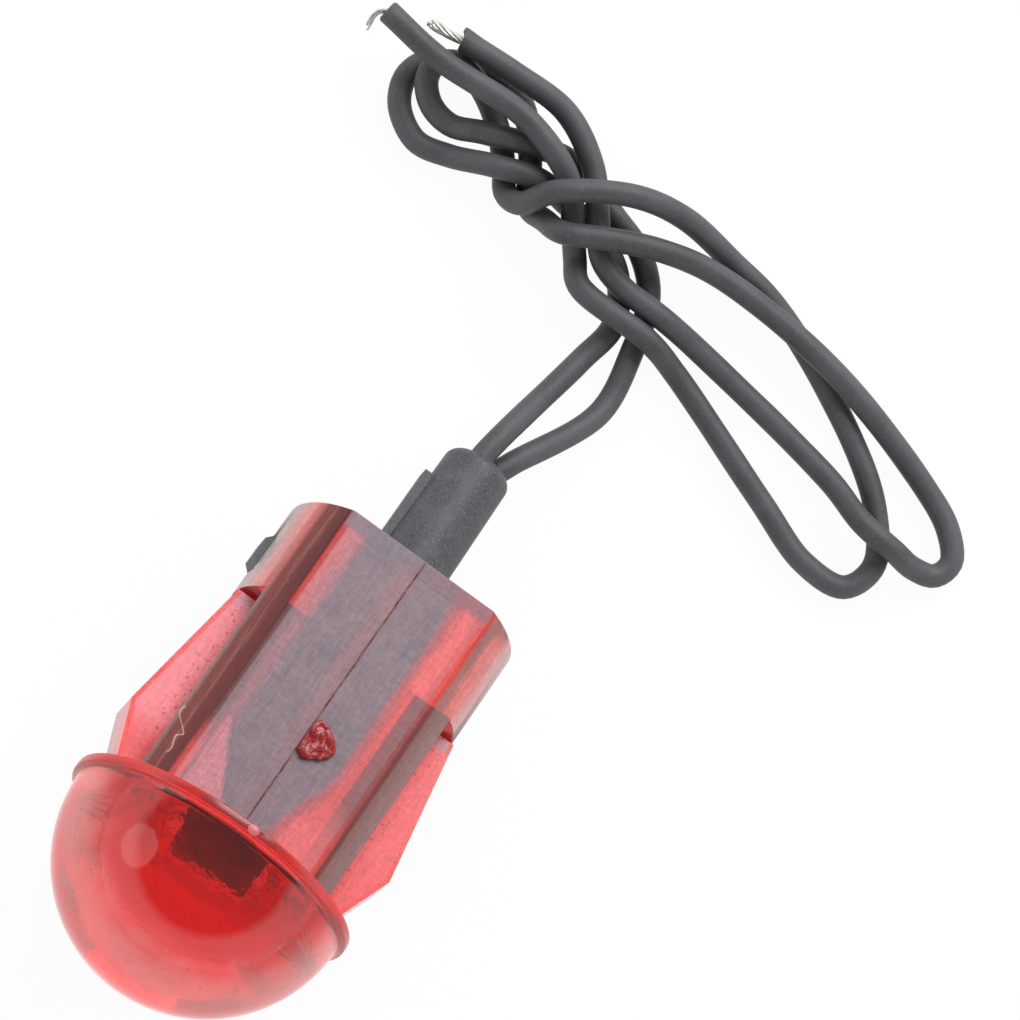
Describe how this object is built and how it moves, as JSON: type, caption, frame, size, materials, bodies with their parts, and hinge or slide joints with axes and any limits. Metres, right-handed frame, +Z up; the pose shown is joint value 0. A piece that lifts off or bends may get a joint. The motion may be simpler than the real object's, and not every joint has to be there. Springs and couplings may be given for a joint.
{
  "type": "indicator light",
  "caption": "Snap-in panel indicator light with a domed red lens, flanged double-D barrel, side wings, a lamp holder and trailing bare-ended wire leads.",
  "frame": {"origin": "centre of the lamp's footprint on the surface it rests on, leads left out", "axes": "+Y along the lamp towards its leads, +Z up from the surface; the lamp lies on a flat of its barrel and the edge of its flange, dome towards -Y"},
  "size_m": [0.0387, 0.048, 0.0149],
  "materials": {
    "red_lens_plastic": "translucent red moulding, frosted on the flats and wings, polished on the dome",
    "black_holder_plastic": "fine textured moulding",
    "bulb_glass": "clear",
    "bead_glass": "clear, tinted",
    "filament_wire": "drawn wire",
    "support_wire": "drawn wire",
    "solder": "satin",
    "tinned_copper": "bright, dulled at the cut",
    "lead_insulation": "smooth, slightly waxy"
  },
  "bodies": {
    "root": {"lens_body": "red_lens_plastic", "lamp_holder": "black_holder_plastic", "bulb_glass": "bulb_glass", "bulb_bead": "bead_glass", "filament": "filament_wire", "support_wire_1": "support_wire", "support_wire_2": "support_wire", "solder_joint_1": "solder", "solder_joint_2": "solder", "inner_strand_1": "tinned_copper", "inner_strand_2": "tinned_copper", "lead_1": "lead_insulation", "lead_2": "lead_insulation", "tip_1": "tinned_copper", "tip_2": "tinned_copper"}
  },
  "joints": []
}
